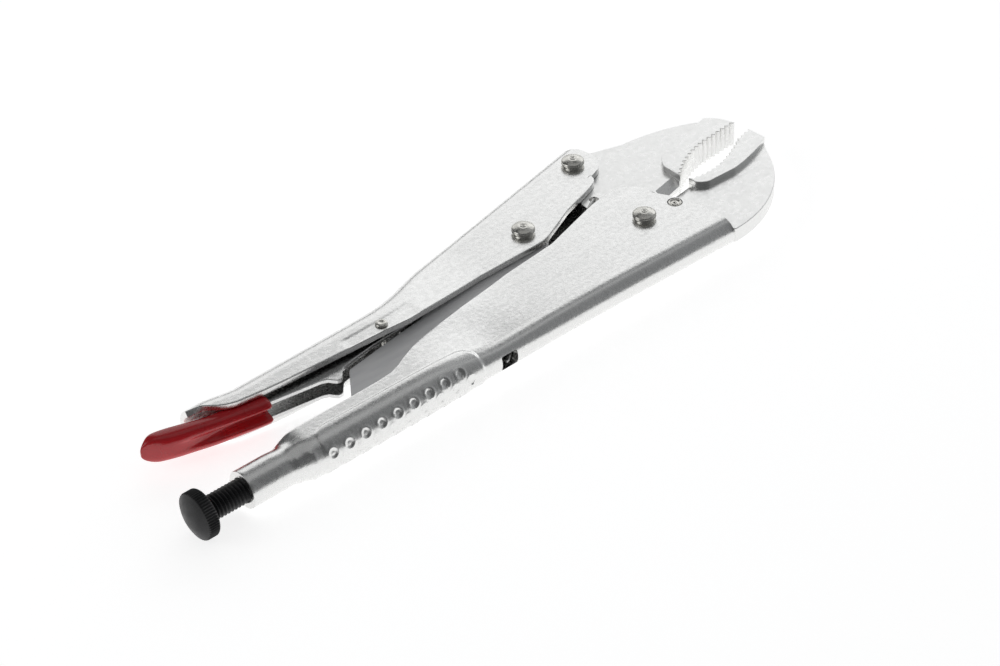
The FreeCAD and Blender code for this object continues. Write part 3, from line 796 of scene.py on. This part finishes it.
def movable_handle_skin():
    count = 44
    start, last = 172.0, 194.2
    stations = [*np.arange(22.8, 40.0, 0.6), *np.arange(40.0, start, 1.3)]
    rings = end_rings(TAIL_X, -1)[::-1] + [(float(x), 0.0) for x in stations]
    loops = [
        channel_loop(x, movable_section(x), shrink, count, relief=lever_pin_relief) for x, shrink in rings
    ]
    lean = [(x, 0.0) for x in np.arange(start, last - 0.4, 1.0)] + end_rings(last, 1)
    for x, shrink in lean:
        share = float(ease((x - start) / (last - start)))
        loops.append(bent_loop(x, movable_section, shrink, count, movable_front, share, LEG_TAN))
    return channel_object("movable_handle_shell", loops, count, "handle", HANDLE_METAL, "handle_plating")


def movable_handle():
    piece = movable_handle_skin()
    holes = [(*JAW, RIVET_HOLE), (*LINK, RIVET_HOLE), (*LEVER, LEVER_HOLE)]
    boolean(piece, [cutter_pin(*hole) for hole in holes])
    finish_piece(piece, HANDLE_METAL, "handle", 32)
    return piece


# both lines in millimetres ahead of and above the lever's rivet
LEVER_FLANGE = [
    (-77.5, 5.0), (-64, 0.8), (-45, -2.9), (-28, -5.5), (-26, -6.4), (-24.6, -8.5), (-23.6, -9.0),
    (-22.4, -8.6), (-21, -7.0), (-19.3, -5.1), (-16, -4.4), (-6, -2.7), (8, -1.9),
]
LEVER_WEB = [(-77.5, 8.6), (-66, 4.2), (-45, 3.3), (3, 5.4), (8, 2.8)]


def lever_section(x):
    web, flange = (LEVER[1] + float(along_line(line, x - LEVER[0])) for line in (LEVER_WEB, LEVER_FLANGE))
    return LEVER_HALF, LEVER_CORNER, web, flange, 1


def release_lever():
    count = 26
    first, last = LEVER[0] - 77.0, LEVER[0] + 8.0
    rings = end_rings(first, -1, LEVER_RIM)[::-1]
    rings += [(float(x), 0.0) for x in np.arange(first + 0.6, last - 0.5, 0.9)]
    rings += end_rings(last, 1, LEVER_RIM)
    loops = [
        channel_loop(x, lever_section(x), shrink, count, LEVER_SHEET, LEVER_RIM) for x, shrink in rings
    ]
    return channel_object("release_lever_body", loops, count, "release", LEVER_METAL, "lever_plating")


# ---- jaws ----

def teeth_along(points, depth):
    """Turns an open line into a row of teeth that point to the right of its direction."""
    tip_room = 0.8
    line = [Vector(p) for p in points]
    lengths = [0.0]
    for a, b in zip(line, line[1:]):
        lengths.append(lengths[-1] + (b - a).length)
    count = round((lengths[-1] - tip_room) / TOOTH_PITCH)
    step = (lengths[-1] - tip_room) / count

    def point_at(travel):
        x = np.interp(travel, lengths, [p.x for p in line])
        y = np.interp(travel, lengths, [p.y for p in line])
        return Vector((x, y))

    toothed = []
    for n in range(count):
        for share, rise in ((0.0, 0.0), (0.12, 0.0), (0.62, 1.0), (0.74, 1.0)):
            travel = (n + share) * step
            run = (point_at(travel + 0.05) - point_at(travel - 0.05)).normalized()
            toothed.append(tuple(point_at(travel) + Vector((-run.y, run.x)) * rise * depth))
    toothed.append(tuple(point_at(count * step)))
    toothed.append(points[-1])
    return toothed


MOVABLE_TEETH = [from_pivot(25.1, 9.4), from_pivot(44.1, 18.2), from_pivot(60.3, 19.5)]
FIXED_TEETH = [
    from_pivot(61.0, 13.7), from_pivot(54.1, 12.0), from_pivot(42.1, 6.6), from_pivot(26.2, 6.5),
]


def bevel_cutters(corners):
    """Two wedges for the bevels at a cutter's edge, one each side; their floors climb away from it."""
    low, high, top = 0.4, JAW_PLATE_HALF + 0.1, 9.0
    places = [from_pivot(*corner) for corner in corners]
    cutters = []
    for side in (1, -1):
        floor_loop = [(x, y, side * z) for (x, y), z in zip(places, (low, low, high, high))]
        top_loop = [(x, y, side * top) for x, y in places]
        cutters.append(loose_object("wedge", *loop_mesh([floor_loop, top_loop])))
    return cutters


def jaw(name, plate_points, pad_points, holes, bevel, body):
    """A plate with a wider toothed pad, bevelled cutting edges and round holes."""
    rim = resample(round_corners(plate_points, 0.8), 0.7)
    piece = plate(name, rim, JAW_PLATE_HALF, JAW_METAL, "jaw_plating")
    pad = loose_object("pad", *loop_mesh(plate_loops(pad_points, JAW_PAD_HALF, PAD_RIM, 2)))
    boolean(piece, [pad], "UNION")
    boolean(piece, bevel_cutters(bevel))
    boolean(piece, [cutter_pin(x, y, radius) for x, y, radius in holes])
    finish_piece(piece, JAW_METAL, body, 28)
    return piece


def movable_jaw():
    rear, middle_tooth, _ = MOVABLE_TEETH
    teeth = teeth_along(arc(rear, middle_tooth, 40, -1) + MOVABLE_TEETH[1:], MOVABLE_TOOTH_DEPTH)
    inset = [(x, y + PAD_STEP_BACK) for x, y in arc(rear, middle_tooth, 40, -1, 2.0)]
    corners = [
        from_pivot(59.6, 20.6), from_pivot(58.6, 22.6), from_pivot(51.3, 31.4), from_pivot(25.7, 38.1),
        from_pivot(13.9, 41.8),
        polar(JAW, 10.4, -5), polar(JAW, BOSS_RADIUS, -5), polar(JAW, BOSS_RADIUS, 100),
        polar(JAW, BOSS_RADIUS, 195),
        (HOOK[0] - 4.8, HOOK[1] + 0.5), polar(PIVOT, HUB_RADIUS, 180), polar(PIVOT, HUB_RADIUS, 285),
        polar(PIVOT, HUB_RADIUS, 35), from_pivot(15.1, 6.9), from_pivot(25.1, 9.4),
    ]
    boss, hub = (BOSS_RADIUS, 1), (HUB_RADIUS, 1)
    arcs = {1: (14, 1), 2: (70, 1), 6: boss, 7: boss, 10: hub, 11: hub}
    plate_points = outline(corners, arcs) + inset[1:] + [from_pivot(44.5, 19.1)]
    pad_points = teeth + outline(
        [from_pivot(59.3, 22.6), from_pivot(54.6, 28.6), from_pivot(32.6, 23.9),
         from_pivot(25.0, 16.6)], {0: (14, 1), 2: (12, 1)})
    holes = [(*PIVOT, PLATE_HOLE), (*JAW, PLATE_HOLE), (*HOOK, SPRING_HOLE)]
    bevel = [(13.6, 5.8), (24.6, 8.6), (24.9, 12.9), (15.3, 10.9)]
    return jaw("movable_jaw_forging", plate_points, pad_points, holes, bevel, "jaw")


def fixed_jaw():
    tip, bend, dip, rear = FIXED_TEETH
    front_run = [tip] + arc(bend, dip, 60, -1)
    teeth = teeth_along(front_run + arc(dip, rear, 27, -1) + [rear], FIXED_TOOTH_DEPTH)
    inset = [(x, y - PAD_STEP_BACK) for x, y in front_run + [dip]]
    floor_y = -BACK_DEPTH + FRONT_HALF + 0.1
    corners = [
        (rear[0] + 1.0, rear[1] - 0.5), rear, from_pivot(14.6, 4.9), polar(PIVOT, SEAT_RADIUS, 22),
        polar(PIVOT, SEAT_RADIUS, -90), from_pivot(-2, -SEAT_RADIUS), (PIVOT[0] - 2, floor_y),
        (FRONT_X + 0.3, floor_y), (FRONT_X + 0.3, -BACK_DEPTH - FRONT_SWELL + 0.6),
        from_pivot(58.1, 2.1), from_pivot(61.0, 6.4),
    ]
    plate_points = outline(corners, {3: (SEAT_RADIUS, -1), 8: (43, 1)}) + inset
    pad_points = teeth + outline(
        [from_pivot(26.4, 3.6), from_pivot(30.5, 0.8), from_pivot(41.1, 0.4), from_pivot(61.3, 6.4)],
        {0: (6, 1), 2: (60, 1)})
    bevel = [(26.1, 7.4), (14.4, 5.8), (19.5, -0.6), (26.1, 1.6)]
    holes = [(*FLUSH, FLUSH_PLATE_HOLE)]
    return jaw("fixed_jaw_forging", plate_points, pad_points, holes, bevel, "frame")


# ---- toggle link and the release lever's coat ----

def toggle_link():
    end_x = 61.0
    corners = [
        (end_x + 0.6, -2.5), (end_x + 38, 6.5), polar(LINK, LINK_END_RADIUS, -75),
        polar(LINK, LINK_END_RADIUS, 15), polar(LINK, LINK_END_RADIUS, 105), from_lever(-14, -1.6),
        from_lever(6, -4.3), from_lever(17.9, -6.2), (end_x - 2.5, 0.8),
    ]
    eye = (LINK_END_RADIUS, 1)
    points = outline(corners, {2: eye, 3: eye, 8: (2.7, 1)})
    points = resample(round_corners(points, 1.4), 1.2)
    piece = plate("toggle_link_plate", points, LINK_HALF, LINK_METAL, "link_steel")
    boolean(piece, [cutter_pin(*LINK, PLATE_HOLE)])
    finish_piece(piece, LINK_METAL, "link", 28)
    return piece


# top and underside of the coat, in millimetres ahead of and above the lever's rivet
COAT_TOP = [(-85.2, 7.6), (-83.0, 9.6), (-80.0, 9.9), (-76, 9.2), (-69.5, 6.9), (-64.5, 4.9),
            (-58.0, 4.1), (-45.2, 3.8)]
COAT_LOW = [(-85.2, 7.2), (-83.5, 5.8), (-80.0, 3.9), (-75.7, 2.0), (-63, -1.3), (-51, -3.8),
            (-45.2, -4.8)]


def coat_line(line, x):
    """A line of the coat, smoothed over a few millimetres."""
    reach = np.linspace(-2.2, 2.2, 9)
    return float(np.mean(along_line(line, x + reach)))


def release_grip():
    """The dipped coat: a rounded bar that keeps the lever's open channel in its underside."""
    first, last, around = -45.2, -85.0, 96
    tip_length, tip_stations = 5.5, 1.2
    roundness, groove_half = 0.62, 1.75
    loops = []
    stations = [*np.arange(first, last + tip_stations, -0.6)]
    stations += [last + tip_stations - 0.1 * n for n in range(12)]
    for number, x in enumerate(stations):
        top, low = coat_line(COAT_TOP, x), coat_line(COAT_LOW, x)
        tip = min(1.0, (x - last + 0.02) / tip_length)
        scale = math.sqrt(max(0.0, 1 - (1 - tip) ** 2))
        lip = 0.45 * (1 - min(1.0, number / 2.0)) ** 2
        half = JAW_PAD_HALF * (0.30 + 0.70 * scale) * scale**0.35 - lip
        tall = ((top - low) / 2) * (0.35 + 0.65 * scale) * scale**0.35 - lip
        centre = (top + low) / 2
        groove = 3.3 * float(ease((x + 79.0) / 26.0))
        loop = []
        for n in range(around):
            turn = 2 * math.pi * n / around
            c, t = math.cos(turn), math.sin(turn)
            across = half * math.copysign(abs(c) ** roundness, c)
            height = tall * math.copysign(abs(t) ** roundness, t)
            if t < 0:
                height += groove * math.exp(-((across / groove_half) ** 4))
            loop.append((LEVER[0] + x, LEVER[1] + centre + height, across))
        loops.append(loop)
    return make_object("release_lever_coat", *loop_mesh(loops), RED_VINYL, "release", "grip_red", 50)


# ---- rivets ----

def headed_rivet(name, place, body):
    """A head on each side: a short neck, a rounded rim and a low dome with a hammered middle."""
    half = [(2.62, 0.0), (2.66, 0.35), (2.80, 0.55), (2.76, 0.85), (2.64, 1.0), (2.70, 1.3), (2.66, 1.7),
            (2.52, 2.3), (2.34, 2.9), (2.18, 3.3), (2.04, 3.55), (1.86, 3.73), (1.62, HEAD_RADIUS),
            (1.05, HEAD_RADIUS), (0.85, 3.72), (0.72, 3.45), (0.66, 3.2), (0.0, 3.15), (0.0, 2.5)]
    return turned_rivet(name, [(FRONT_HALF + height, radius) for height, radius in half], place, body)


def small_rivet():
    wall = REAR_HALF
    top = wall + 0.75
    half = [(top - 0.22, 0.0), (top - 0.2, 0.5), (top - 0.05, 0.8), (top, 1.05), (top - 0.02, 1.35),
            (top - 0.16, 1.72), (top - 0.4, 1.93), (wall + 0.05, 2.0), (wall, 1.95), (wall, 1.25)]
    return turned_rivet("release_lever_pin", half, LEVER, "handle", 48)


def flush_rivet():
    top = FRONT_HALF
    half = [(top - 0.75, 0.0), (top - 0.7, 0.25), (top - 0.25, 0.6), (top - 0.2, 1.0),
            (top - 0.32, 1.35), (top - 0.06, 1.75), (top, 1.9), (top - 0.05, 2.15), (top - 0.3, 2.3)]
    return turned_rivet("fixed_jaw_pin", half, FLUSH, "frame", 56)


# ---- screw and knob ----

def screw_thread():
    """A rod with a real right-hand thread, chamfered at its tip."""
    first, last, around, per_turn = KNOB_RIM - 1.5, SCREW_TIP_X, 56, 14
    crest_share, flank_share, chamfer = 0.10, 0.72, 0.8
    rows = round((last - first) / THREAD_PITCH * per_turn)
    loops = []
    for row in range(rows + 1):
        x = first + (last - first) * row / rows
        loop = []
        for n in range(around):
            turn = 2 * math.pi * n / around
            phase = (x / THREAD_PITCH - n / around) % 1.0
            flank = abs(phase - 0.5) * 2
            depth = THREAD_DEPTH * float(np.clip((flank - crest_share) / flank_share, 0, 1))
            run_out = float(ease((x - KNOB_RIM - 0.2) / 0.8))
            tip = max(0.0, x - (last - chamfer))
            radius = SCREW_RADIUS - depth * run_out - tip
            loop.append((x, radius * math.cos(turn), radius * math.sin(turn)))
        loops.append(loop)
    return make_object("adjusting_screw_thread", *loop_mesh(loops), BLACK_METAL, "screw",
                       "screw_black", 60)


def knob():
    """A domed thumb knob with straight knurling round its rim."""
    teeth, per_tooth, knurl_depth = 56, 6, 0.30
    around = teeth * per_tooth
    face = KNOB_RADIUS - 0.55
    radius_dome = (face**2 + KNOB_DOME**2) / (2 * KNOB_DOME)
    # places along x, radii and the share of the knurling's depth
    profile = []
    for n in range(11):
        reach = face * (0.04 + 0.96 * n / 10)
        profile.append((-KNOB_DOME + radius_dome - math.sqrt(radius_dome**2 - reach**2), reach, 0.0))
    profile += [(0.12, face + 0.28, 0.25), (0.42, KNOB_RADIUS - 0.06, 0.8), (0.75, KNOB_RADIUS, 1.0),
                (2.0, KNOB_RADIUS, 1.0), (KNOB_RIM - 0.7, KNOB_RADIUS, 1.0),
                (KNOB_RIM - 0.35, KNOB_RADIUS - 0.08, 0.8), (KNOB_RIM - 0.05, face + 0.15, 0.2),
                (KNOB_RIM, face - 0.3, 0.0), (KNOB_RIM, SCREW_RADIUS + 0.9, 0.0),
                (KNOB_RIM, SCREW_RADIUS + 0.06, 0.0), (KNOB_RIM / 2, SCREW_RADIUS + 0.06, 0.0)]
    loops = []
    for x, radius, cut in profile:
        loop = []
        for n in range(around):
            phase = (n % per_tooth) / per_tooth
            groove = knurl_depth * cut * abs(phase - 0.5) * 2
            reach = radius - groove
            turn = 2 * math.pi * n / around
            loop.append((x, reach * math.cos(turn), reach * math.sin(turn)))
        loops.append(loop)
    return make_object("thumb_knob", *loop_mesh(loops), BLACK_METAL, "knob", "screw_black", 40)


# ---- spring ----

def spring():
    """A close-wound tension spring from the slot in the fixed handle to the jaw's spring hole."""
    rear = Vector((SLOT[0], -BACK_DEPTH, 0))
    front = Vector((HOOK[0], HOOK[1], 0))
    along = (front - rear).normalized()
    across = Vector((-along.y, along.x, 0))
    up = Vector((0, 0, 1))
    start = rear + along * REAR_HOOK
    length = (front - rear).length - REAR_HOOK - FRONT_HOOK
    steps = 20
    turns = int(length / (2 * WIRE_RADIUS * 1.03))
    # a quarter turn more brings the wire round to the side that the front hook leaves from
    places = turns * steps + steps // 4
    path = [rear + Vector((-1.4, 0.6, 0)), rear + Vector((-0.6, 0.6, 0)), start + across * COIL_RADIUS]
    for n in range(1, places + 1):
        angle = 2 * math.pi * n / steps
        travel = length * n / places
        path.append(start + along * travel
                    + (across * math.cos(angle) + up * math.sin(angle)) * COIL_RADIUS)
    end = start + along * length
    over = JAW_PLATE_HALF + WIRE_RADIUS + 0.1
    path += [end + along * 3.2 + up * COIL_RADIUS, end + along * 4.9 + up * over,
             front + up * over - along * 0.9, front + up * (over - 0.5), front,
             front - up * (over - 0.5), front - up * over - along * 0.9,
             front - up * over - along * 3.0]
    piece = make_object("coil_spring", *loop_mesh(tube_along(path, WIRE_RADIUS * 0.98, 8)),
                        SPRING_METAL, None, "spring_steel", 60)
    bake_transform(piece)
    return piece


# ---- the tool ----

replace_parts(fixed_handle(), "fixed_handle")
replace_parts(movable_handle(), "movable_handle")
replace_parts(movable_jaw(), "movable_jaw")
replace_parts(fixed_jaw(), "fixed_jaw")
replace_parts(toggle_link(), "toggle_link")
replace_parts(release_lever(), "release_lever")
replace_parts(release_grip(), "release_lever_grip")
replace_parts(headed_rivet("main_pivot_head", PIVOT, "frame"), "main_pivot_rivet")
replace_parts(headed_rivet("jaw_pivot_head", JAW, "handle"), "handle_jaw_rivet")
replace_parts(headed_rivet("link_pivot_head", LINK, "handle"), "handle_link_rivet")
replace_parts(small_rivet(), "release_lever_rivet")
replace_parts(flush_rivet(), "fixed_jaw_rivet")
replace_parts(screw_thread(), "adjusting_screw")
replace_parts(knob(), "screw_knob")
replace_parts(spring(), "tension_spring")


# ---- floor, light and camera ----

def floor():
    mesh = bpy.data.meshes.new("floor")
    reach = 6.0
    mesh.from_pydata([(-reach, -reach, 0), (reach, -reach, 0), (reach, reach, 0), (-reach, reach, 0)],
                     [], [(0, 1, 2, 3)])
    ground = bpy.data.objects.new("floor", mesh)
    bpy.context.scene.collection.objects.link(ground)
    material, tree, shader = new_material("pale_floor", (0.60, 0.60, 0.60), 0.0, 0.8)
    cloud = add_noise(tree, 8, 2)
    tree.links.new(mix_colours(tree, cloud, (0.61, 0.61, 0.61), (0.59, 0.59, 0.59)),
                   shader.inputs["Base Color"])
    shader.inputs["Emission Color"].default_value = (1, 1, 1, 1)
    shader.inputs["Emission Strength"].default_value = 0.80
    mesh.materials.append(material)


def softbox(name, place, width, height, power):
    """An area light that faces the tool; its place and size are in metres."""
    lamp = bpy.data.lights.new(name, "AREA")
    lamp.shape = "RECTANGLE"
    lamp.size = width
    lamp.size_y = height
    lamp.energy = power
    light = bpy.data.objects.new(name, lamp)
    bpy.context.scene.collection.objects.link(light)
    light.location = place
    light.rotation_euler = (-Vector(place)).to_track_quat("-Z", "Y").to_euler()


def studio_world():
    """A dim studio that grows lighter towards its right-hand wall."""
    world = bpy.data.worlds.new("studio")
    bpy.context.scene.world = world
    world.use_nodes = True
    tree = world.node_tree
    place = tree.nodes.new("ShaderNodeTexCoord")
    split = tree.nodes.new("ShaderNodeSeparateXYZ")
    tree.links.new(place.outputs["Generated"], split.inputs["Vector"])
    strength = remap(tree, split.outputs["X"], 0.09, 0.34, 0.38, 0.68)
    back = tree.nodes["Background"]
    back.inputs["Color"].default_value = (0.96, 0.98, 1.0, 1)
    tree.links.new(strength, back.inputs["Strength"])


def studio():
    studio_world()
    softbox("far_softbox", (0.9, 1.02, 0.70), 2.2, 0.95, 5.6)
    softbox("top_softbox", (0.1, -0.1, 1.5), 1.4, 1.4, 1.5)
    softbox("left_softbox", (-1.3, 0.5, 0.8), 0.9, 0.9, 3.5)
    bpy.context.scene.view_settings.view_transform = "Standard"


def camera():
    """A long lens from behind the knob, to the tool's right and above it."""
    azimuth, elevation, roll = (math.radians(a) for a in (39.83, 37.91, -2.19))
    place = at(-297.69, -495.08, 506.54)
    ahead = Vector((math.sin(azimuth) * math.cos(elevation),
                    math.cos(azimuth) * math.cos(elevation), -math.sin(elevation)))
    right = ahead.cross(Vector((0, 0, 1))).normalized()
    up = right.cross(ahead)
    tilted_right = right * math.cos(roll) + up * math.sin(roll)
    tilted_up = -right * math.sin(roll) + up * math.cos(roll)
    data = bpy.data.cameras.new("camera")
    data.sensor_width = 36
    data.lens = 96.94
    data.clip_start = 0.01
    eye = bpy.data.objects.new("camera", data)
    bpy.context.scene.collection.objects.link(eye)
    turn = Matrix((tilted_right, tilted_up, -ahead)).transposed().to_4x4()
    eye.matrix_world = Matrix.Translation(place) @ turn
    bpy.context.scene.camera = eye


floor()
studio()
camera()
